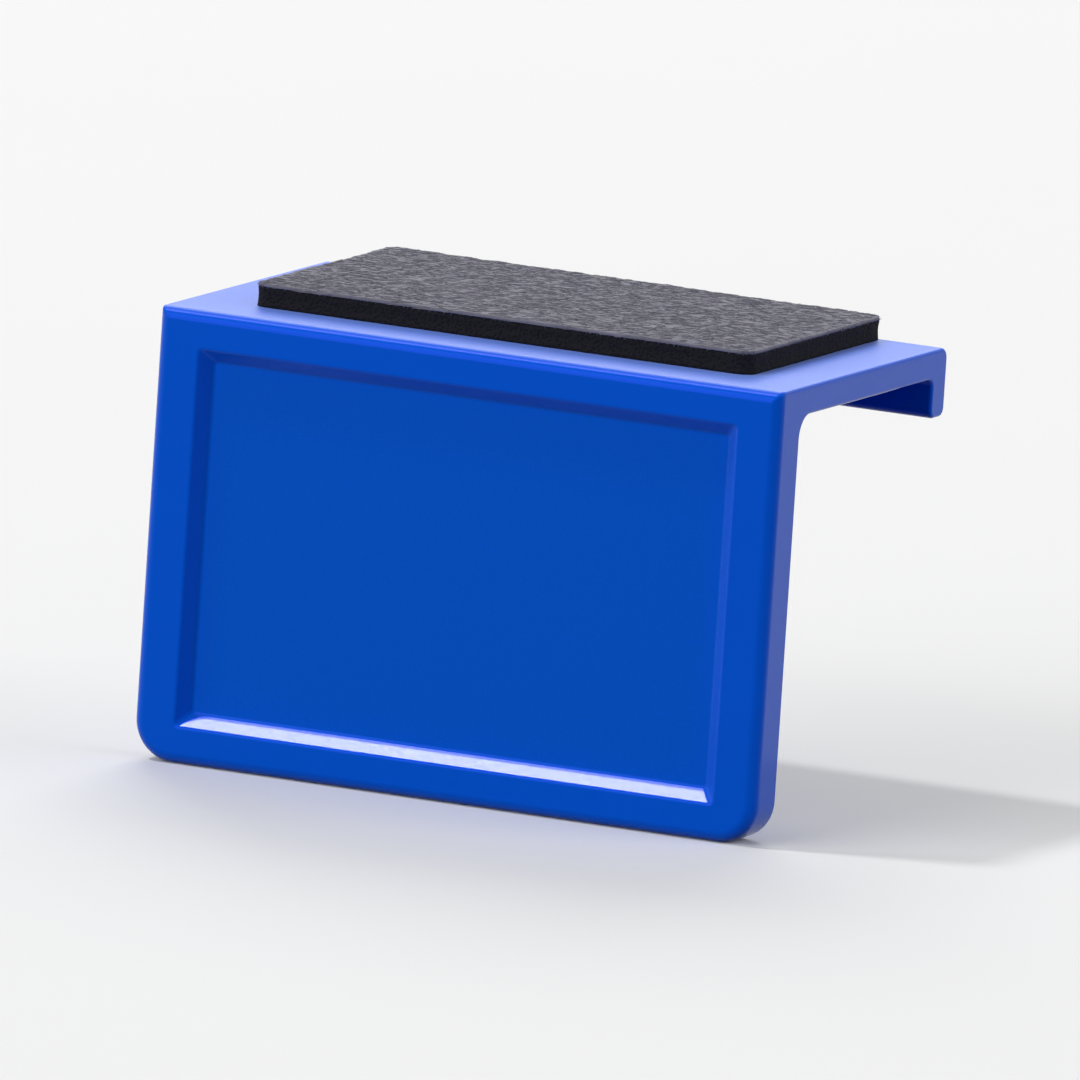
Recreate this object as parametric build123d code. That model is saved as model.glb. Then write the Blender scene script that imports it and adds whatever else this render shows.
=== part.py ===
from build123d import *
from math import radians, tan
import os

# Hang-on webcam cover clip: a moulded hook with a framed front plate, and a die-cut cleaning pad on its deck.
# Millimetres. +X runs along the plate's width, +Y goes from the plate back to the lip, +Z is up.
# The origin is the middle of the deck's underside, the face that the clip hangs from.

# Front plate
plate_width = 30.0
plate_height = 20.0
plate_thickness = 2.2
plate_corner_radius = 1.8

# Hook behind the plate
slot_depth = 13.4
deck_thickness = 1.3
lip_thickness = 1.4
lip_drop = 1.75

# Recessed panel in the plate's face, inside a raised border with sloping walls
side_border = 2.0
end_border = 1.65
recess_depth = 0.6
wall_slope = 45.0

# Rounded edges of the moulding
front_edge_round = 0.5
border_edge_round = 0.2
wall_corner_round = 0.3
panel_edge_round = 0.2
plate_root_round = 1.0
lip_root_round = 0.4
rear_corner_round = 0.5
lip_tip_round = 0.4
end_edge_round = 0.15

# Cleaning pad
pad_thickness = 1.1
pad_side_margin = 3.0
pad_front_margin = 3.1
pad_rear_margin = 0.3
pad_corner_radius = 0.5
pad_edge_round = 0.25

# Planes that the faces lie on
plate_back_y = -slot_depth / 2
front_y = plate_back_y - plate_thickness
lip_front_y = slot_depth / 2
rear_y = lip_front_y + lip_thickness
deck_top_z = deck_thickness
plate_bottom_z = deck_top_z - plate_height
lip_bottom_z = -lip_drop


def draw_hook_section():
    """Side section of the plate, the deck and the lip in one outline, rounded at the slot and at the lip."""
    rear_top = (rear_y, deck_top_z)
    lip_outer_tip = (rear_y, lip_bottom_z)
    lip_inner_tip = (lip_front_y, lip_bottom_z)
    lip_root = (lip_front_y, 0)
    plate_root = (plate_back_y, 0)
    outline = [
        (front_y, plate_bottom_z),
        (front_y, deck_top_z),
        rear_top,
        lip_outer_tip,
        lip_inner_tip,
        lip_root,
        plate_root,
        (plate_back_y, plate_bottom_z),
    ]
    Polygon(*outline, align=None)
    for corner, radius in (
        (rear_top, rear_corner_round),
        (lip_outer_tip, lip_tip_round),
        (lip_inner_tip, lip_tip_round),
        (lip_root, lip_root_round),
        (plate_root, plate_root_round),
    ):
        fillet(vertices().sort_by_distance(corner)[0], radius)


def make_recess():
    """What the panel's recess takes out of the plate: a flat floor, and four walls that slope out to the border."""
    wall_run = recess_depth * tan(radians(wall_slope))
    panel_width = plate_width - 2 * (side_border + wall_run)
    panel_height = plate_height - 2 * (end_border + wall_run)
    panel_middle = (0, front_y + recess_depth, (plate_bottom_z + deck_top_z) / 2)
    panel_plane = Plane(origin=panel_middle, x_dir=(1, 0, 0), z_dir=(0, -1, 0))
    with BuildPart() as recess:
        with BuildSketch(panel_plane):
            Rectangle(panel_width, panel_height)
        extrude(amount=recess_depth, taper=-wall_slope)
        flat_faces = recess.faces().filter_by(Plane.XZ)
        wall_corners = recess.edges() - flat_faces.edges()
        fillet(wall_corners, wall_corner_round)
    return recess.part


def make_clip_body():
    """The hook drawn out along its width, its outer edges rounded, and the panel sunk in its plate."""
    with BuildPart() as clip:
        with BuildSketch(Plane.YZ.offset(-plate_width / 2)):
            draw_hook_section()
        extrude(amount=plate_width)
        plate_corners = clip.edges().filter_by(Axis.Y).group_by(Axis.Z)[0]
        fillet(plate_corners, plate_corner_radius)
        front_outline = clip.faces().sort_by(Axis.Y)[0].edges()
        fillet(front_outline, front_edge_round)
        # The round runs on from the deck's two ends, round the lip, the slot and the plate's back.
        deck_ends = clip.edges().filter_by(Axis.Y).group_by(Axis.Z)[-1]
        fillet(deck_ends, end_edge_round)
        add(make_recess(), mode=Mode.SUBTRACT)
        border_face = clip.faces().filter_by(Plane.XZ).sort_by(Axis.Y)[0]
        fillet(border_face.inner_wires()[0].edges(), border_edge_round)
        panel_face = clip.faces().filter_by(Plane.XZ).sort_by(Axis.Y)[1]
        fillet(panel_face.edges(), panel_edge_round)
    return clip.part


def make_cleaning_pad():
    """A flat pad on the deck, set in from the deck's four edges by its margins, with a soft upper edge."""
    pad_length = plate_width - 2 * pad_side_margin
    pad_front_y = front_y + pad_front_margin
    pad_rear_y = rear_y - pad_rear_margin
    pad_middle = (0, (pad_front_y + pad_rear_y) / 2, deck_top_z)
    with BuildPart() as pad:
        with BuildSketch(Plane(pad_middle)):
            RectangleRounded(pad_length, pad_rear_y - pad_front_y, pad_corner_radius)
        extrude(amount=pad_thickness)
        fillet(pad.faces().sort_by(Axis.Z)[-1].edges(), pad_edge_round)
    return pad.part


os.makedirs("parts", exist_ok=True)
export_step(make_clip_body(), "parts/clip_body.step")
export_step(make_cleaning_pad(), "parts/cleaning_pad.step")
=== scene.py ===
import math

import bpy
import numpy as np
from bpy.props import FloatProperty, FloatVectorProperty, IntProperty, PointerProperty
from mathutils import Matrix, Vector


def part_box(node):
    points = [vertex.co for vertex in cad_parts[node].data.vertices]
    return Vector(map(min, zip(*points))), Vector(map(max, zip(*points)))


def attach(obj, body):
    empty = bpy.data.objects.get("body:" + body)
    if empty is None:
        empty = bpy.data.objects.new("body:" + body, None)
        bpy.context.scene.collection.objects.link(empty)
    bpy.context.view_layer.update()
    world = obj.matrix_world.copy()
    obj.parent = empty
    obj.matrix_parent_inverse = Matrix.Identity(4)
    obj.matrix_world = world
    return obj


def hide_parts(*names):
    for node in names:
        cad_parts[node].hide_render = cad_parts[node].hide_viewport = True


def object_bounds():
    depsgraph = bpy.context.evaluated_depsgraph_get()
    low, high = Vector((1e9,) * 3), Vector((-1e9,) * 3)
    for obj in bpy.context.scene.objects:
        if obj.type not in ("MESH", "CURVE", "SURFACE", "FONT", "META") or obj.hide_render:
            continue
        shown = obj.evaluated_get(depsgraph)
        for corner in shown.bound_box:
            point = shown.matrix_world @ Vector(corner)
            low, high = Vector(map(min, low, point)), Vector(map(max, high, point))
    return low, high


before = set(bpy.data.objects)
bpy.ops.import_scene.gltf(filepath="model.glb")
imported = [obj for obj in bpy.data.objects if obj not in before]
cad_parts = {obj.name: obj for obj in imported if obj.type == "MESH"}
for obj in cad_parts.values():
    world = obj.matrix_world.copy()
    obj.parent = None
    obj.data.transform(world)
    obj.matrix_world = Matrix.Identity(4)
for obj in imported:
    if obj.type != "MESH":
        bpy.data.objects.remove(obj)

bl_info = {
    "name": "Hang-on Webcam Cover Clip",
    "version": (1, 0, 0),
    "blender": (4, 5, 0),
    "location": "View3D > Sidebar > Cover Clip",
    "description": "Finishes the moulded clip, cuts its cleaning pad and sets the stage",
    "category": "Object",
}

MM = 0.001
CAD_LOW, CAD_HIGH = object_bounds()
BODY_LOW, BODY_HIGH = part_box("clip_body")
PAD_LOW, PAD_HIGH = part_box("cleaning_pad")

# Recessed panel in the plate's face, inside its raised border
SIDE_BORDER = 2.0 * MM
END_BORDER = 1.65 * MM
RECESS_DEPTH = 0.6 * MM

# Cleaning pad: its plan, the rings of points down its side, its nap, and what its random draws start from
PAD_MIDDLE = (PAD_LOW + PAD_HIGH) / 2
PAD_HALF = (PAD_HIGH - PAD_LOW) / 2
PAD_CORNER_RADIUS = 0.5 * MM
ROLL_RINGS = 5
FOAM_RINGS = 6
NAP_ANGLE = math.radians(20)
NOISE_SEED = 11
PILE_SEED = 23

# Stage, with lengths in metres
FLOOR_REACH = 3.0
LAMP_DISTANCE = 1.2
BACKDROP_STRENGTH = 0.92
# Name, direction from the clip, side and brightness of each softbox. The small overhead one is the
# highlight along the recess's lower wall, and the rear one is the pale sheen on the deck.
LAMPS = (
    ("overhead_softbox", (-0.42, -0.17, 0.89), 0.11, 109.0),
    ("front_softbox", (-0.4, -0.85, 0.35), 0.9, 3.4),
    ("right_softbox", (0.9, 0.2, 0.4), 0.8, 2.7),
    ("rear_softbox", (-0.32, 0.72, 0.62), 0.75, 4.0),
)

# Inputs and result of the Mix node by number, because its numbers and its colours share their names
NUMBER_A, NUMBER_B, NUMBER_RESULT = 2, 3, 0
COLOUR_A, COLOUR_B, COLOUR_RESULT = 6, 7, 2


def hex_to_linear(code):
    """An sRGB hex colour as linear red, green and blue."""
    channels = [int(code[place:place + 2], 16) / 255 for place in (0, 2, 4)]
    return tuple(
        value / 12.92 if value <= 0.04045 else ((value + 0.055) / 1.055) ** 2.4
        for value in channels
    )


class MouldedBodySettings(bpy.types.PropertyGroup):
    """Colour and gloss of the moulded clip."""

    colour: FloatVectorProperty(
        name="Plastic Colour",
        description="Main colour of the dyed plastic",
        subtype="COLOR",
        size=3,
        min=0,
        max=1,
        default=hex_to_linear("005DE2"),
    )
    flow_colour: FloatVectorProperty(
        name="Flow Colour",
        description="Slightly deeper colour where the melt flowed more slowly",
        subtype="COLOR",
        size=3,
        min=0,
        max=1,
        default=hex_to_linear("0059DA"),
    )
    # Painted shade: a slightly darker blue for the recessed panel, standing in for the shade of the recess
    panel_shade_colour: FloatVectorProperty(
        name="Panel Shade Colour",
        description="Colour of the recessed panel, painted a little darker as the recess's shade",
        subtype="COLOR",
        size=3,
        min=0,
        max=1,
        default=hex_to_linear("005BD0"),
    )
    gloss_roughness: FloatProperty(
        name="Gloss Roughness",
        description="Roughness of the polished faces",
        subtype="FACTOR",
        min=0,
        max=1,
        default=0.14,
    )
    satin_roughness: FloatProperty(
        name="Satin Roughness",
        description="Roughness of the deck's top, which is blasted so that the pad sticks",
        subtype="FACTOR",
        min=0,
        max=1,
        default=0.44,
    )
    deck_haze: FloatProperty(
        name="Deck Haze",
        description="Pale haze of the blasted deck at low angles",
        subtype="FACTOR",
        min=0,
        max=1,
        default=0.5,
    )
    panel_roughness: FloatProperty(
        name="Panel Roughness",
        description="Roughness of the recessed panel, which is lightly textured",
        subtype="FACTOR",
        min=0,
        max=1,
        default=0.26,
    )


class CleaningPadSettings(bpy.types.PropertyGroup):
    """Shape, pile and colours of the cleaning pad."""

    crown: FloatProperty(
        name="Crown",
        description="How far the middle of the pad stands above its edges",
        unit="LENGTH",
        default=0.06 * MM,
    )
    cloth_thickness: FloatProperty(
        name="Cloth Thickness",
        description="Thickness of the napped cloth on top of the foam",
        unit="LENGTH",
        default=0.24 * MM,
    )
    edge_round: FloatProperty(
        name="Edge Round",
        description="Radius to which the cloth rolls over at the cut edge",
        unit="LENGTH",
        default=0.14 * MM,
    )
    fibre_count: IntProperty(
        name="Fibre Count",
        description="Number of loose fibres that lie on the cloth",
        min=0,
        default=11000,
    )
    fringe_count: IntProperty(
        name="Fringe Count",
        description="Number of short fibres that hang over the cut edge",
        min=0,
        default=1600,
    )
    cloth_colour: FloatVectorProperty(
        name="Cloth Colour",
        description="Colour of the napped cloth",
        subtype="COLOR",
        size=3,
        min=0,
        max=1,
        default=hex_to_linear("717080"),
    )
    foam_colour: FloatVectorProperty(
        name="Foam Colour",
        description="Colour of the foam at the cut sides",
        subtype="COLOR",
        size=3,
        min=0,
        max=1,
        default=hex_to_linear("1C1B1E"),
    )


class StageSettings(bpy.types.PropertyGroup):
    """Camera angle and light level."""

    azimuth: FloatProperty(
        name="Azimuth",
        description="How far round to the right the camera stands",
        subtype="ANGLE",
        default=math.radians(25),
    )
    elevation: FloatProperty(
        name="Elevation",
        description="How far above the horizon the camera stands",
        subtype="ANGLE",
        default=math.radians(9.5),
    )
    roll: FloatProperty(
        name="Roll",
        description="How far the object leans to the right in the picture",
        subtype="ANGLE",
        default=math.radians(3.75),
    )
    distance: FloatProperty(
        name="Distance",
        description="From the camera to the middle of the clip",
        unit="LENGTH",
        default=2.146,
    )
    field_width: FloatProperty(
        name="Field Width",
        description="Width of what the camera sees at the clip",
        unit="LENGTH",
        default=47 * MM,
    )
    ambient: FloatProperty(
        name="Ambient Strength",
        description="Strength of the even white light from all round",
        default=0.22,
    )


class CoverClipSettings(bpy.types.PropertyGroup):
    """All settings of the clip."""

    body: PointerProperty(type=MouldedBodySettings)
    pad: PointerProperty(type=CleaningPadSettings)
    stage: PointerProperty(type=StageSettings)


def add_node(tree, kind, inputs=None, **settings):
    """Adds a node, sets its properties, and fills each named input with a value or a link from a socket."""
    node = tree.nodes.new(kind)
    for name, value in settings.items():
        setattr(node, name, value)
    for name, value in (inputs or {}).items():
        if isinstance(value, bpy.types.NodeSocket):
            tree.links.new(value, node.inputs[name])
        else:
            node.inputs[name].default_value = value
    return node


def new_material(name):
    """An empty node material, its tree, and the socket that gives each point's place on the piece."""
    material = bpy.data.materials.new(name)
    material.use_nodes = True
    tree = material.node_tree
    tree.nodes.clear()
    place = add_node(tree, "ShaderNodeTexCoord").outputs["Object"]
    return material, tree, place


def per_mm(size):
    """The texture scale that gives features of this size in millimetres on coordinates in metres."""
    return 1 / (size * MM)


def panel_mask(tree, place):
    """A socket that is 1 on the recessed panel's floor and 0 elsewhere.

    The point is measured from the panel's middle in units of the panel's reach along x, y and z, and the
    greatest of the three decides. The mask fades out between 0.9 and 1.1 of that reach.
    """
    floor_reach = 0.15 * MM
    middle = (BODY_LOW + BODY_HIGH) / 2
    middle.y = BODY_LOW.y + RECESS_DEPTH
    half = (BODY_HIGH - BODY_LOW) / 2
    reach = (half.x - SIDE_BORDER, floor_reach, half.z - END_BORDER)
    scale = [1 / length for length in reach]
    offset = [-part / length for part, length in zip(middle, reach)]
    measured = add_node(tree, "ShaderNodeMapping", {"Vector": place, "Location": offset, "Scale": scale})
    away = add_node(tree, "ShaderNodeVectorMath", {0: measured.outputs["Vector"]}, operation="ABSOLUTE")
    axis = add_node(tree, "ShaderNodeSeparateXYZ", {"Vector": away.outputs["Vector"]}).outputs
    flat = add_node(tree, "ShaderNodeMath", {0: axis["X"], 1: axis["Z"]}, operation="MAXIMUM")
    greatest = add_node(tree, "ShaderNodeMath", {0: flat.outputs["Value"], 1: axis["Y"]}, operation="MAXIMUM")
    fade = add_node(
        tree,
        "ShaderNodeMapRange",
        {"Value": greatest.outputs["Value"], "From Min": 0.9, "From Max": 1.1, "To Min": 1.0, "To Max": 0.0},
    )
    return fade.outputs["Result"]


def deck_mask(tree, place):
    """A socket that is 1 on the deck's top and falls to 0 a little way down its edges."""
    fade_start = 0.02 * MM
    fade_end = 0.3 * MM
    height = add_node(tree, "ShaderNodeSeparateXYZ", {"Vector": place}).outputs["Z"]
    fade = add_node(
        tree,
        "ShaderNodeMapRange",
        {"Value": height, "From Min": BODY_HIGH.z - fade_end, "From Max": BODY_HIGH.z - fade_start},
    )
    return fade.outputs["Result"]


def make_moulded_abs(settings):
    """ABS, injection moulded in a polished tool.

    The eye sees a deep even blue with a clear gloss on the plate's border and the edges, a satin top to the
    deck with a pale haze, and a recessed panel that is a little rougher than its border and carries painted
    shade: a slightly darker blue that stands in for the recess's shade. The gloss carries a faint orange-peel
    waviness about 3 mm long and a fine grain from the tool's polish, drawn 0.14 mm wide to show.
    Along the flow of the melt the blue deepens very slightly. The reflections are tinted blue, so that pale
    surroundings don't wash the colour out.
    """
    flow_size = 5.0
    flow_stretch = (0.35, 1.0, 1.0)
    peel_size = 3.0
    grain_size = 0.14
    panel_shade_share = 0.8
    material, tree, place = new_material("abs_moulded_blue")
    panel = panel_mask(tree, place)
    deck = deck_mask(tree, place)

    # Colour
    along_flow = add_node(tree, "ShaderNodeMapping", {"Vector": place, "Scale": flow_stretch})
    flow = add_node(
        tree,
        "ShaderNodeTexNoise",
        {
            "Vector": along_flow.outputs["Vector"],
            "Scale": per_mm(flow_size),
            "Detail": 3.0,
            "Roughness": 0.5,
            "Distortion": 0.6,
        },
    )
    dyed = add_node(
        tree,
        "ShaderNodeMix",
        {
            "Factor": flow.outputs["Fac"],
            COLOUR_A: (*settings.colour, 1),
            COLOUR_B: (*settings.flow_colour, 1),
        },
        data_type="RGBA",
    )
    # Painted shade: the panel's floor is mixed towards a slightly darker blue, standing in for the recess's
    # shade
    panel_shaded = add_node(tree, "ShaderNodeMath", {0: panel, 1: panel_shade_share}, operation="MULTIPLY")
    colour = add_node(
        tree,
        "ShaderNodeMix",
        {
            "Factor": panel_shaded.outputs["Value"],
            COLOUR_A: dyed.outputs[COLOUR_RESULT],
            COLOUR_B: (*settings.panel_shade_colour, 1),
        },
        data_type="RGBA",
    )

    # Finish
    peel = add_node(
        tree,
        "ShaderNodeTexNoise",
        {"Vector": place, "Scale": per_mm(peel_size), "Detail": 1.0},
    )
    grain = add_node(
        tree,
        "ShaderNodeTexNoise",
        {"Vector": place, "Scale": per_mm(grain_size), "Detail": 2.0},
    )
    haze = add_node(tree, "ShaderNodeMath", {0: deck, 1: settings.deck_haze}, operation="MULTIPLY")
    satin = add_node(
        tree,
        "ShaderNodeMix",
        {"Factor": deck, NUMBER_A: settings.gloss_roughness, NUMBER_B: settings.satin_roughness},
    )
    textured = add_node(
        tree,
        "ShaderNodeMix",
        {"Factor": panel, NUMBER_A: satin.outputs[NUMBER_RESULT], NUMBER_B: settings.panel_roughness},
    )
    uneven = add_node(
        tree,
        "ShaderNodeMapRange",
        {"Value": grain.outputs["Fac"], "From Min": 0.3, "From Max": 0.7, "To Min": -0.02, "To Max": 0.03},
    )
    roughness = add_node(
        tree,
        "ShaderNodeMath",
        {0: textured.outputs[NUMBER_RESULT], 1: uneven.outputs["Result"]},
        operation="ADD",
    )
    waves = add_node(
        tree,
        "ShaderNodeBump",
        {"Strength": 0.1, "Distance": 0.04 * MM, "Height": peel.outputs["Fac"]},
    )
    relief = add_node(
        tree,
        "ShaderNodeBump",
        {
            "Strength": 0.03,
            "Distance": 0.01 * MM,
            "Height": grain.outputs["Fac"],
            "Normal": waves.outputs["Normal"],
        },
    )
    shader = add_node(
        tree,
        "ShaderNodeBsdfPrincipled",
        {
            "Base Color": colour.outputs[COLOUR_RESULT],
            "Roughness": roughness.outputs["Value"],
            "IOR": 1.53,
            "Specular Tint": (*hex_to_linear("3838FF"), 1),
            "Sheen Weight": haze.outputs["Value"],
            "Sheen Roughness": 0.35,
            "Sheen Tint": (*hex_to_linear("E1F0FF"), 1),
            "Normal": relief.outputs["Normal"],
        },
    )
    add_node(tree, "ShaderNodeOutputMaterial", {"Surface": shader.outputs["BSDF"]})
    return material


def make_napped_cloth(settings):
    """Polyester microfibre cloth, knitted and then brushed to a short nap.

    The eye sees a soft charcoal grey with fine streaks along the nap, and a paler sheen at low angles. The
    real fibres are about 0.01 mm thick, so the streaks are drawn 0.09 mm wide to show at all.
    """
    streak_size = 0.09
    streak_stretch = (0.16, 1.0, 1.0)
    patch_size = 2.2
    patch_share = 0.5
    deep_share = 0.55
    material, tree, place = new_material("microfibre_brushed_charcoal")
    along_nap = add_node(
        tree,
        "ShaderNodeMapping",
        {"Vector": place, "Rotation": (0, 0, -NAP_ANGLE), "Scale": streak_stretch},
    )
    streaks = add_node(
        tree,
        "ShaderNodeTexNoise",
        {
            "Vector": along_nap.outputs["Vector"],
            "Scale": per_mm(streak_size),
            "Detail": 3.0,
            "Roughness": 0.6,
        },
    )
    patches = add_node(
        tree,
        "ShaderNodeTexNoise",
        {"Vector": place, "Scale": per_mm(patch_size), "Detail": 2.0},
    )
    mixed = add_node(
        tree,
        "ShaderNodeMath",
        {0: patches.outputs["Fac"], 1: patch_share, 2: streaks.outputs["Fac"]},
        operation="MULTIPLY_ADD",
    )
    shade = add_node(
        tree,
        "ShaderNodeMapRange",
        {"Value": mixed.outputs["Value"], "From Min": 0.45, "From Max": 1.05},
    )
    pale = tuple(settings.cloth_colour)
    deep = tuple(deep_share * value for value in pale)
    colour = add_node(
        tree,
        "ShaderNodeMix",
        {"Factor": shade.outputs["Result"], COLOUR_A: (*deep, 1), COLOUR_B: (*pale, 1)},
        data_type="RGBA",
    )
    nap = add_node(
        tree,
        "ShaderNodeBump",
        {"Strength": 0.6, "Distance": 0.05 * MM, "Height": streaks.outputs["Fac"]},
    )
    shader = add_node(
        tree,
        "ShaderNodeBsdfPrincipled",
        {
            "Base Color": colour.outputs[COLOUR_RESULT],
            "Roughness": 0.85,
            "Specular IOR Level": 0.2,
            "Sheen Weight": 0.25,
            "Sheen Roughness": 0.5,
            "Normal": nap.outputs["Normal"],
        },
    )
    add_node(tree, "ShaderNodeOutputMaterial", {"Surface": shader.outputs["BSDF"]})
    return material


def make_cut_foam(settings):
    """EVA foam, closed cell, cut with a steel rule die.

    The eye sees a near-black matt side, with the open halves of cut cells as fine pits about 0.15 mm across,
    dented by the bump and darkened by painted shade in their hollows.
    """
    cell_size = 0.15
    deep_share = 0.45
    material, tree, place = new_material("eva_foam_die_cut")
    cells = add_node(tree, "ShaderNodeTexVoronoi", {"Vector": place, "Scale": per_mm(cell_size)})
    pits_and_shade = add_node(
        tree,
        "ShaderNodeMapRange",
        {"Value": cells.outputs["Distance"], "From Min": 0.1, "From Max": 0.6},
    )
    base = tuple(settings.foam_colour)
    deep = tuple(deep_share * value for value in base)
    # Painted shade: the foam is mixed towards a darker share of its colour in the hollows of the pits
    colour = add_node(
        tree,
        "ShaderNodeMix",
        {"Factor": pits_and_shade.outputs["Result"], COLOUR_A: (*deep, 1), COLOUR_B: (*base, 1)},
        data_type="RGBA",
    )
    relief = add_node(
        tree,
        "ShaderNodeBump",
        {"Strength": 0.7, "Distance": 0.06 * MM, "Height": pits_and_shade.outputs["Result"]},
    )
    shader = add_node(
        tree,
        "ShaderNodeBsdfPrincipled",
        {
            "Base Color": colour.outputs[COLOUR_RESULT],
            "Roughness": 0.9,
            "Specular IOR Level": 0.15,
            "Normal": relief.outputs["Normal"],
        },
    )
    add_node(tree, "ShaderNodeOutputMaterial", {"Surface": shader.outputs["BSDF"]})
    return material


def seen_ray(tree):
    """A socket that is 1 for rays from the camera, from mirrors and through glass, and 0 for other rays."""
    ray = add_node(tree, "ShaderNodeLightPath").outputs
    direct = add_node(
        tree,
        "ShaderNodeMath",
        {0: ray["Is Camera Ray"], 1: ray["Is Glossy Ray"]},
        operation="MAXIMUM",
    )
    either = add_node(
        tree,
        "ShaderNodeMath",
        {0: direct.outputs["Value"], 1: ray["Is Transmission Ray"]},
        operation="MAXIMUM",
    )
    return either.outputs["Value"]


def make_painted_board():
    """Fibreboard, sprayed with matt white paint: a pale even surface with no gloss and a trace of mottle.

    So close under a small clip, a white floor would fill every shade with bounced light, so only the camera,
    mirrors and glass see it white.
    """
    mottle_size = 40.0
    pale = (*hex_to_linear("EAEAEA"), 1)
    paler = (*hex_to_linear("ECECEC"), 1)
    unseen = (*hex_to_linear("505050"), 1)
    material, tree, place = new_material("board_painted_white")
    mottle = add_node(
        tree,
        "ShaderNodeTexNoise",
        {"Vector": place, "Scale": per_mm(mottle_size), "Detail": 2.0},
    )
    paint = add_node(
        tree,
        "ShaderNodeMix",
        {"Factor": mottle.outputs["Fac"], COLOUR_A: pale, COLOUR_B: paler},
        data_type="RGBA",
    )
    shown = add_node(
        tree,
        "ShaderNodeMix",
        {"Factor": seen_ray(tree), COLOUR_A: unseen, COLOUR_B: paint.outputs[COLOUR_RESULT]},
        data_type="RGBA",
    )
    shader = add_node(
        tree,
        "ShaderNodeBsdfPrincipled",
        {"Base Color": shown.outputs[COLOUR_RESULT], "Roughness": 0.9, "Specular IOR Level": 0.1},
    )
    add_node(tree, "ShaderNodeOutputMaterial", {"Surface": shader.outputs["BSDF"]})
    return material


def make_mesh_object(name, points, faces, materials, slots=None):
    """A smooth mesh object at the origin, from points and faces, with a material slot for each face."""
    mesh = bpy.data.meshes.new(name)
    mesh.from_pydata(points.tolist(), [], faces)
    for material in materials:
        mesh.materials.append(material)
    if slots is not None:
        mesh.polygons.foreach_set("material_index", slots)
    mesh.polygons.foreach_set("use_smooth", np.ones(len(mesh.polygons), bool))
    mesh.update()
    piece = bpy.data.objects.new(name, mesh)
    bpy.context.scene.collection.objects.link(piece)
    return piece


def grid_faces(index):
    """Four-sided faces, turned up, between neighbours in a grid of point numbers along x and then y."""
    corners = [index[:-1, :-1], index[1:, :-1], index[1:, 1:], index[:-1, 1:]]
    return np.stack(corners, axis=-1).reshape(-1, 4)


def value_noise(points, cell, seed):
    """Random heights from -1 to 1 on a lattice with this cell size in x, y and z.

    Between lattice points the heights are joined by the smooth step 3 t^2 - 2 t^3 along each axis.
    """
    lattice_size = 32
    heights = np.random.default_rng(seed).uniform(-1, 1, (lattice_size,) * 3)
    place = points / np.asarray(cell)
    low = np.floor(place).astype(int)
    part = place - low
    step = part * part * (3 - 2 * part)
    total = np.zeros(points.shape[:-1])
    for corner in np.ndindex(2, 2, 2):
        at = (low + corner) % lattice_size
        weight = np.where(corner, step, 1 - step).prod(axis=-1)
        total += weight * heights[at[..., 0], at[..., 1], at[..., 2]]
    return total


def nap_relief(points):
    """Height of the cloth's relief, in metres: the sum of soft hollows, tufts and streaks of nap.

    The hollows are noise with cells of 2.5 mm, and the tufts with cells of 0.4 mm. The streaks are the same
    noise on coordinates turned by the nap's angle, 0.9 mm long and 0.2 mm wide. The three reach up to 0.018,
    0.016 and 0.014 mm up and down.
    """
    hollow_cell = (2.5 * MM,) * 3
    tuft_cell = (0.4 * MM,) * 3
    streak_cell = (0.9 * MM, 0.2 * MM, 0.3 * MM)
    turn = np.array(
        [
            [math.cos(NAP_ANGLE), -math.sin(NAP_ANGLE), 0],
            [math.sin(NAP_ANGLE), math.cos(NAP_ANGLE), 0],
            [0, 0, 1],
        ]
    )
    hollows = 0.018 * value_noise(points, hollow_cell, NOISE_SEED)
    tufts = 0.016 * value_noise(points, tuft_cell, NOISE_SEED + 1)
    streaks = 0.014 * value_noise(points @ turn, streak_cell, NOISE_SEED + 2)
    return MM * (hollows + tufts + streaks)


def pad_top(x, y, settings):
    """Height of the cloth over the pad's plan: a flat top and a crown that falls as a parabola to the edges.

    The flat top lies below the solid's top by a share of the edge's round, which leaves room for the crown.
    """
    sunk_share = 0.4
    across = 1 - ((x - PAD_MIDDLE.x) / PAD_HALF.x) ** 2
    along = 1 - ((y - PAD_MIDDLE.y) / PAD_HALF.y) ** 2
    flat = PAD_HIGH.z - settings.edge_round * sunk_share
    return flat + settings.crown * across * along


def pad_top_grid(settings):
    """The pad's napped top as a grid of points, and the half lengths of the rectangle between its arcs.

    It is a rectangle's grid whose corner squares are pressed onto quarter discs: with p and q running 0 to 1
    from the arc's centre, a point moves to p sqrt(1 - q^2 / 2) and q sqrt(1 - p^2 / 2).
    """
    cell = 0.1 * MM
    radius = PAD_CORNER_RADIUS
    half_x = PAD_HALF.x - settings.edge_round
    half_y = PAD_HALF.y - settings.edge_round
    inner_x = half_x - radius
    inner_y = half_y - radius
    columns = np.linspace(-half_x, half_x, 2 * round(half_x / cell) + 1)
    rows = np.linspace(-half_y, half_y, 2 * round(half_y / cell) + 1)
    x, y = np.meshgrid(columns, rows, indexing="ij")
    p = np.clip((abs(x) - inner_x) / radius, 0, 1)
    q = np.clip((abs(y) - inner_y) / radius, 0, 1)
    x = PAD_MIDDLE.x + np.sign(x) * (np.minimum(abs(x), inner_x) + radius * p * np.sqrt(1 - q * q / 2))
    y = PAD_MIDDLE.y + np.sign(y) * (np.minimum(abs(y), inner_y) + radius * q * np.sqrt(1 - p * p / 2))
    top = np.stack([x, y, pad_top(x, y, settings)], axis=-1)
    top[..., 2] += nap_relief(top)
    return top, (inner_x, inner_y)


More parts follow.
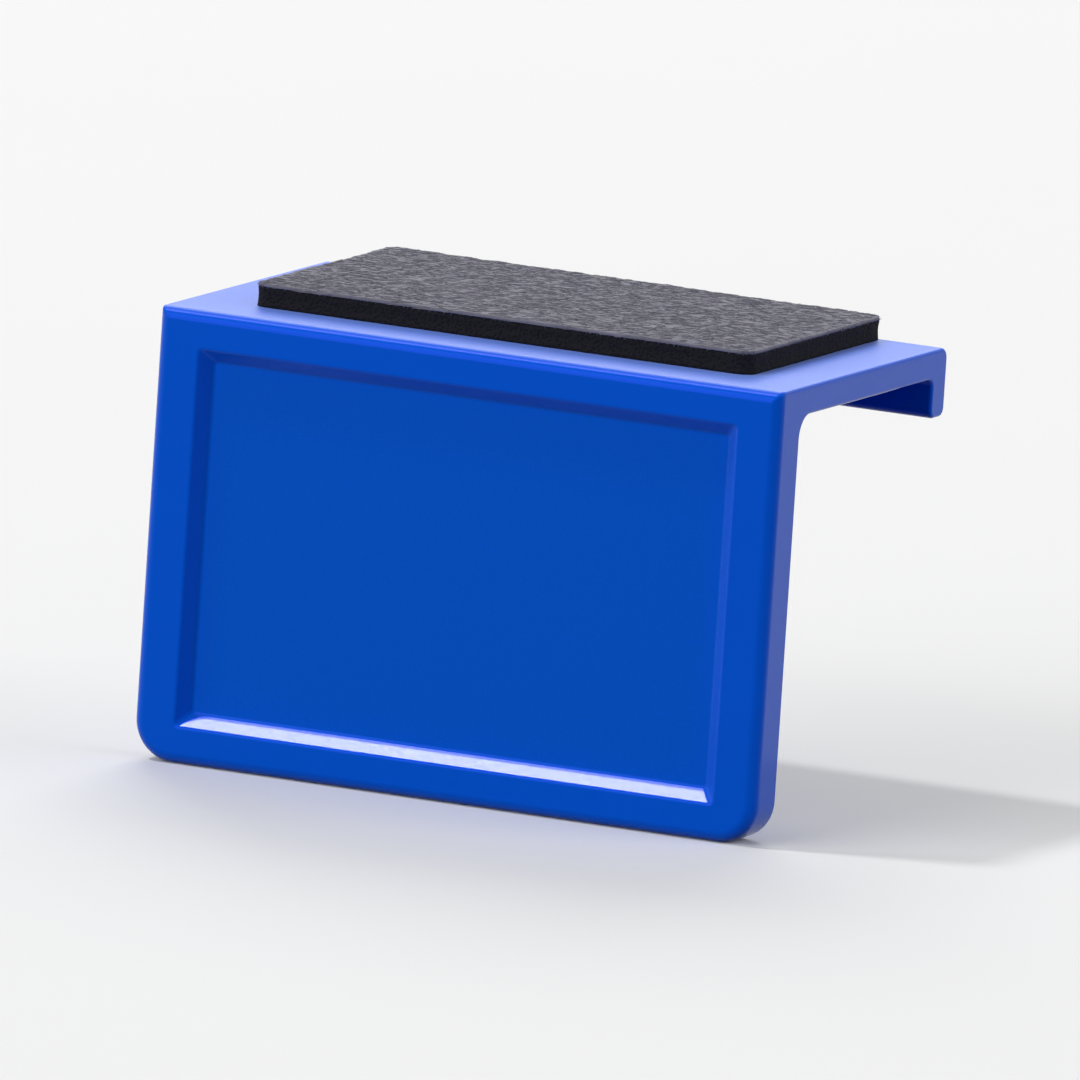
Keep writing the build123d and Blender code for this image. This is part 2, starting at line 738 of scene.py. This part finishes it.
def pad_side_rings(rim, inner, settings):
    """Rings of points down the pad's side, from the rim of its top to the deck.

    The rim is carried down a profile: a quarter round of the cloth, a groove where the cloth meets the foam,
    and a foam side that the die leaves hollow by half a sine wave. Each ring lies outside the rim by a share
    of the round.
    """
    groove_out = (0.98, 0.8, 0.95)
    groove_half_height = 0.05 * MM
    foam_out = 0.95
    foam_hollow = 0.25
    roll = settings.edge_round
    foam_height = PAD_HIGH.z - PAD_LOW.z - settings.cloth_thickness
    turn = np.linspace(0, math.pi / 2, ROLL_RINGS + 1)[1:]
    down = np.linspace(0, 1, FOAM_RINGS + 1)[1:]
    out = roll * np.concatenate([np.sin(turn), groove_out, foam_out - foam_hollow * np.sin(math.pi * down)])
    roll_height = rim[:, 2] - PAD_LOW.z - roll * (1 - np.cos(turn))[:, None]
    groove_height = foam_height + groove_half_height * np.array([1, 0, -1])
    side_height = np.concatenate([groove_height, (foam_height - groove_half_height) * (1 - down)])
    height = np.concatenate([roll_height, np.repeat(side_height[:, None], len(rim), axis=1)])

    # Outwards is straight out along the sides, and away from the arc's centre at the corners.
    from_middle = rim[:, :2] - np.array(PAD_MIDDLE[:2])
    outward = np.sign(from_middle) * np.maximum(abs(from_middle) - inner, 0)
    outward /= np.linalg.norm(outward, axis=1, keepdims=True)
    rings = np.empty((len(out), len(rim), 3))
    rings[..., :2] = rim[:, :2] + out[:, None, None] * outward
    rings[..., 2] = PAD_LOW.z + height
    rings[..., :2] += nap_relief(rings)[..., None] * outward
    return rings


def pad_skin(settings):
    """Points, faces and material slots of the pad, as one closed skin: its top, its side and its underside.

    Slot 0 is the cloth, on the top, the roll and the upper half of the groove. Slot 1 is the foam.
    """
    top, inner = pad_top_grid(settings)
    index = np.arange(top[..., 0].size).reshape(top.shape[:2])
    # The rim runs once round the grid, anticlockwise from above.
    rim = np.concatenate([index[:-1, 0], index[-1, :-1], index[:0:-1, -1], index[0, :0:-1]])
    rings = pad_side_rings(top.reshape(-1, 3)[rim], inner, settings)
    points = np.concatenate([top.reshape(-1, 3), rings.reshape(-1, 3)])
    loops = np.concatenate([rim, index.size + np.arange(rings[..., 0].size)]).reshape(-1, len(rim))
    upper = loops[:-1]
    lower = loops[1:]
    side_corners = [upper, lower, np.roll(lower, -1, 1), np.roll(upper, -1, 1)]
    side_faces = np.stack(side_corners, axis=-1).reshape(-1, 4)
    top_faces = grid_faces(index)
    underside = loops[-1][::-1]
    faces = [*top_faces.tolist(), *side_faces.tolist(), underside.tolist()]
    cloth_faces = len(top_faces) + (ROLL_RINGS + 1) * len(rim)
    slots = np.where(np.arange(len(faces)) < cloth_faces, 0, 1)
    return points, faces, slots


def split_at_outline(plan):
    """Plan points in two parts: the nearest point of the rectangle between the arcs, and what is left.

    The third value is the length of what is left, which is the corner radius on the outline itself.
    """
    middle = np.array(PAD_MIDDLE[:2])
    run = np.array(PAD_HALF[:2]) - PAD_CORNER_RADIUS
    inner = middle + np.clip(plan - middle, -run, run)
    beyond = plan - inner
    return inner, beyond, np.linalg.norm(beyond, axis=-1)


def hold_in_outline(plan, fringe):
    """Plan points moved back to the pad's outline where they leave it by more than the fringe."""
    # Points within the rectangle have no reach, and nothing is divided by zero for them.
    shortest = 1e-12
    inner, beyond, reach = split_at_outline(plan)
    kept = np.minimum(reach, PAD_CORNER_RADIUS + fringe)
    return inner + beyond * (kept / np.maximum(reach, shortest))[..., None]


def cloth_height(plan, settings):
    """Height of the cloth's surface at plan points: the napped top, less its fall over the roll at the edge.

    At a distance t past the start of the roll, a quarter circle of radius r has fallen r - sqrt(r^2 - t^2).
    """
    roll = settings.edge_round
    _, _, reach = split_at_outline(plan)
    past = np.clip(reach - (PAD_CORNER_RADIUS - roll), 0, roll)
    top = pad_top(plan[..., 0], plan[..., 1], settings)
    relief = nap_relief(np.concatenate([plan, top[..., None]], axis=-1))
    return top + relief - (roll - np.sqrt(roll**2 - past**2))


def lying_fibres(settings, rng):
    """Roots, headings, lengths, lifts and drops of the fibres that lie on the cloth.

    They lie along the nap, either way round, with some scatter.
    """
    scatter = 0.45
    count = settings.fibre_count
    root = np.array(PAD_MIDDLE[:2]) + rng.uniform(-1, 1, (count, 2)) * np.array(PAD_HALF[:2])
    heading = NAP_ANGLE + rng.normal(0, scatter, count) + math.pi * rng.integers(0, 2, count)
    length = rng.uniform(0.3, 0.75, count) * MM
    lift = rng.uniform(0.005, 0.035, count) * MM
    return root, heading, length, lift, np.zeros(count)


def fringe_fibres(settings, rng):
    """The same for the short fibres at the cut edge, which point outwards and bend down over the roll.

    A run along a long side and then a short side gives a fibre's place, and a second draw gives which of the
    two opposite sides that is.
    """
    scatter = 0.9
    corner_margin = 0.3 * MM
    count = settings.fringe_count
    run = rng.uniform(0, 2 * (PAD_HALF.x + PAD_HALF.y), count)
    far = np.where(rng.integers(0, 2, count) == 1, 1, -1)
    on_length = run < 2 * PAD_HALF.x
    along_x = (run - PAD_HALF.x) * (1 - corner_margin / PAD_HALF.x)
    along_y = (run - 2 * PAD_HALF.x - PAD_HALF.y) * (1 - corner_margin / PAD_HALF.y)
    inset = rng.uniform(0.03, 0.32, count) * MM
    root_x = PAD_MIDDLE.x + np.where(on_length, along_x, far * (PAD_HALF.x - inset))
    root_y = PAD_MIDDLE.y + np.where(on_length, far * (PAD_HALF.y - inset), along_y)
    root = np.stack([root_x, root_y], axis=-1)
    outward = np.where(on_length, far * math.pi / 2, np.where(far > 0, 0, math.pi))
    heading = outward + rng.normal(0, scatter, count)
    length = rng.uniform(0.1, 0.3, count) * MM
    lift = rng.uniform(0.005, 0.02, count) * MM
    drop = rng.uniform(0.0, 0.1, count) * MM
    return root, heading, length, lift, drop


def spindle_faces(count):
    """Triangles of a number of spindles, each of 8 points: its near end, two rings of three, and its far end.

    Three triangles close each end, and six join the two rings.
    """
    points_each = 8
    near_end = np.full(3, 0)
    far_end = np.full(3, 7)
    first = np.array([1, 2, 3])
    second = np.array([4, 5, 6])
    first_next = np.roll(first, -1)
    second_next = np.roll(second, -1)
    triangles = (
        (near_end, first_next, first),
        (first, first_next, second_next),
        (first, second_next, second),
        (second, second_next, far_end),
    )
    pattern = np.concatenate([np.stack(corners, axis=-1) for corners in triangles])
    return (pattern + points_each * np.arange(count)[:, None, None]).reshape(-1, 3)


def pile_fibres(settings):
    """Points and faces of the loose fibres on the cloth, each a thin spindle with three sides.

    A fibre's path leaves the cloth at its root and runs along its heading with a slight bend. It follows the
    cloth's height, rises above it and falls again as half a sine wave, and drops with the square of the
    distance. Two rings of three points lie at 0.3 and 0.75 of the path, and its ends are single points. The
    fibres are drawn about twice as thick as real ones, to show at all.
    """
    root_inset = 0.06 * MM
    overhang = 0.01 * MM
    sunk_depth = 0.008 * MM
    share = np.array([0, 0.3, 0.75, 1.0])
    rng = np.random.default_rng(PILE_SEED)
    sets = zip(lying_fibres(settings, rng), fringe_fibres(settings, rng))
    root, heading, length, lift, drop = (np.concatenate(pair) for pair in sets)
    count = len(root)
    root = hold_in_outline(root, -root_inset)
    radius = rng.uniform(0.008, 0.014, count) * MM
    bend = rng.normal(0, 0.12, count) * length
    along = np.stack([np.cos(heading), np.sin(heading)], axis=-1)
    side = np.stack([-np.sin(heading), np.cos(heading), np.zeros(count)], axis=-1)
    plan = (
        root[:, None]
        + along[:, None] * (length[:, None] * share)[..., None]
        + side[:, None, :2] * (bend[:, None] * share**2)[..., None]
    )
    plan = hold_in_outline(plan, overhang)
    rise = lift[:, None] * np.sin(math.pi * share) - drop[:, None] * share**2 - sunk_depth
    path = np.concatenate([plan, (cloth_height(plan, settings) + rise)[..., None]], axis=-1)
    angle = math.tau * np.arange(3) / 3
    spoke = side[:, None] * np.cos(angle)[:, None] + np.array([0, 0, 1]) * np.sin(angle)[:, None]
    rings = path[:, 1:3, None] + radius[:, None, None, None] * spoke[:, None]
    points = np.concatenate([path[:, :1], rings.reshape(count, 6, 3), path[:, 3:]], axis=1)
    return points.reshape(-1, 3), spindle_faces(count).tolist()


class COVERCLIP_OT_finish_body(bpy.types.Operator):
    """Gives the moulded body its glossy dyed plastic"""

    bl_idname = "cover_clip.finish_body"
    bl_label = "Finish Moulded Body"

    def execute(self, context):
        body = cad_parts["clip_body"]
        material = make_moulded_abs(context.scene.cover_clip.body)
        for slot in body.material_slots:
            slot.material = material
        return {"FINISHED"}


class COVERCLIP_OT_cut_pad(bpy.types.Operator):
    """Makes the die-cut cleaning pad, of napped cloth on foam, in place of the plain slab"""

    bl_idname = "cover_clip.cut_pad"
    bl_label = "Cut Cleaning Pad"

    def execute(self, context):
        settings = context.scene.cover_clip.pad
        cloth = make_napped_cloth(settings)
        points, faces, slots = pad_skin(settings)
        pad = make_mesh_object("pad_skin", points, faces, [cloth, make_cut_foam(settings)], slots)
        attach(pad, "root")
        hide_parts("cleaning_pad")
        points, faces = pile_fibres(settings)
        pile = make_mesh_object("pad_pile", points, faces, [cloth])
        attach(pile, "root")
        return {"FINISHED"}


def floor_grid():
    """Points and faces of the floor: a flat square grid at the height of the clip's lowest point."""
    cells = 12
    side = np.linspace(-FLOOR_REACH, FLOOR_REACH, cells + 1)
    x, y = np.meshgrid(side, side, indexing="ij")
    points = np.stack([x, y, np.full_like(x, CAD_LOW.z)], axis=-1).reshape(-1, 3)
    index = np.arange(x.size).reshape(x.shape)
    return points, grid_faces(index).tolist()


def add_softbox(name, direction, size, radiance, target):
    """A square area lamp along a direction from the target, facing it.

    Its power in watts is pi times its brightness times its area.
    """
    lamp = bpy.data.lights.new(name, "AREA")
    lamp.shape = "SQUARE"
    lamp.size = size
    lamp.energy = radiance * math.pi * size * size
    holder = bpy.data.objects.new(name, lamp)
    towards = Vector(direction).normalized()
    holder.location = target + towards * LAMP_DISTANCE
    holder.rotation_euler = towards.to_track_quat("Z", "Y").to_euler()
    holder.visible_camera = False
    bpy.context.scene.collection.objects.link(holder)


def set_white_world(ambient):
    """A near-white backdrop for what the camera, mirrors and glass see, and a weaker even white as light."""
    white = (*hex_to_linear("FFFFFF"), 1)
    world = bpy.data.worlds.new("white_studio")
    bpy.context.scene.world = world
    world.use_nodes = True
    tree = world.node_tree
    tree.nodes.clear()
    light = add_node(tree, "ShaderNodeBackground", {"Color": white, "Strength": ambient})
    backdrop = add_node(tree, "ShaderNodeBackground", {"Color": white, "Strength": BACKDROP_STRENGTH})
    either = add_node(
        tree,
        "ShaderNodeMixShader",
        {0: seen_ray(tree), 1: light.outputs["Background"], 2: backdrop.outputs["Background"]},
    )
    add_node(tree, "ShaderNodeOutputWorld", {"Surface": either.outputs["Shader"]})


def add_camera(settings, target):
    """A long-lens camera that turns about the target by azimuth, elevation and roll."""
    sensor_width = 36
    nearest_share = 0.2
    farthest_share = 4
    turn = settings.azimuth
    rise = settings.elevation
    roll = settings.roll
    back = Vector((math.sin(turn) * math.cos(rise), -math.cos(turn) * math.cos(rise), math.sin(rise)))
    level = Vector((math.cos(turn), math.sin(turn), 0))
    upright = back.cross(level)
    right = level * math.cos(roll) + upright * math.sin(roll)
    up = upright * math.cos(roll) - level * math.sin(roll)
    facing = Matrix((right, up, back)).transposed().to_4x4()
    lens = bpy.data.cameras.new("long_lens")
    lens.sensor_width = sensor_width
    lens.lens = sensor_width * settings.distance / settings.field_width
    lens.clip_start = settings.distance * nearest_share
    lens.clip_end = settings.distance * farthest_share
    camera = bpy.data.objects.new("long_lens", lens)
    camera.matrix_world = Matrix.Translation(target + back * settings.distance) @ facing
    bpy.context.scene.collection.objects.link(camera)
    bpy.context.scene.camera = camera


class COVERCLIP_OT_set_stage(bpy.types.Operator):
    """Lays the pale floor and sets the lamps, the white surround and the camera"""

    bl_idname = "cover_clip.set_stage"
    bl_label = "Set Stage"

    def execute(self, context):
        settings = context.scene.cover_clip.stage
        target = (CAD_LOW + CAD_HIGH) / 2
        points, faces = floor_grid()
        floor = make_mesh_object("floor", points, faces, [make_painted_board()])
        for name, direction, size, radiance in LAMPS:
            add_softbox(name, direction, size, radiance, target)
        set_white_world(settings.ambient)
        add_camera(settings, target)
        context.scene.view_settings.view_transform = "Standard"
        return {"FINISHED"}


class COVERCLIP_PT_tools(bpy.types.Panel):
    """Lists the steps that build the clip"""

    bl_idname = "COVERCLIP_PT_tools"
    bl_label = "Webcam Cover Clip"
    bl_space_type = "VIEW_3D"
    bl_region_type = "UI"
    bl_category = "Cover Clip"

    def draw(self, context):
        settings = context.scene.cover_clip
        for group, step in (
            (settings.body, COVERCLIP_OT_finish_body),
            (settings.pad, COVERCLIP_OT_cut_pad),
            (settings.stage, COVERCLIP_OT_set_stage),
        ):
            box = self.layout.box()
            for name in group.__annotations__:
                box.prop(group, name)
            box.operator(step.bl_idname)


CLASSES = (
    MouldedBodySettings,
    CleaningPadSettings,
    StageSettings,
    CoverClipSettings,
    COVERCLIP_OT_finish_body,
    COVERCLIP_OT_cut_pad,
    COVERCLIP_OT_set_stage,
    COVERCLIP_PT_tools,
)


def register():
    """Registers the classes, and gives every scene the clip's settings."""
    for item in CLASSES:
        bpy.utils.register_class(item)
    bpy.types.Scene.cover_clip = PointerProperty(type=CoverClipSettings)


def unregister():
    """Takes the settings and the classes away again."""
    del bpy.types.Scene.cover_clip
    for item in reversed(CLASSES):
        bpy.utils.unregister_class(item)


def main():
    """Builds the clip and its stage."""
    register()
    bpy.ops.cover_clip.finish_body()
    bpy.ops.cover_clip.cut_pad()
    bpy.ops.cover_clip.set_stage()


if __name__ == "__main__":
    main()
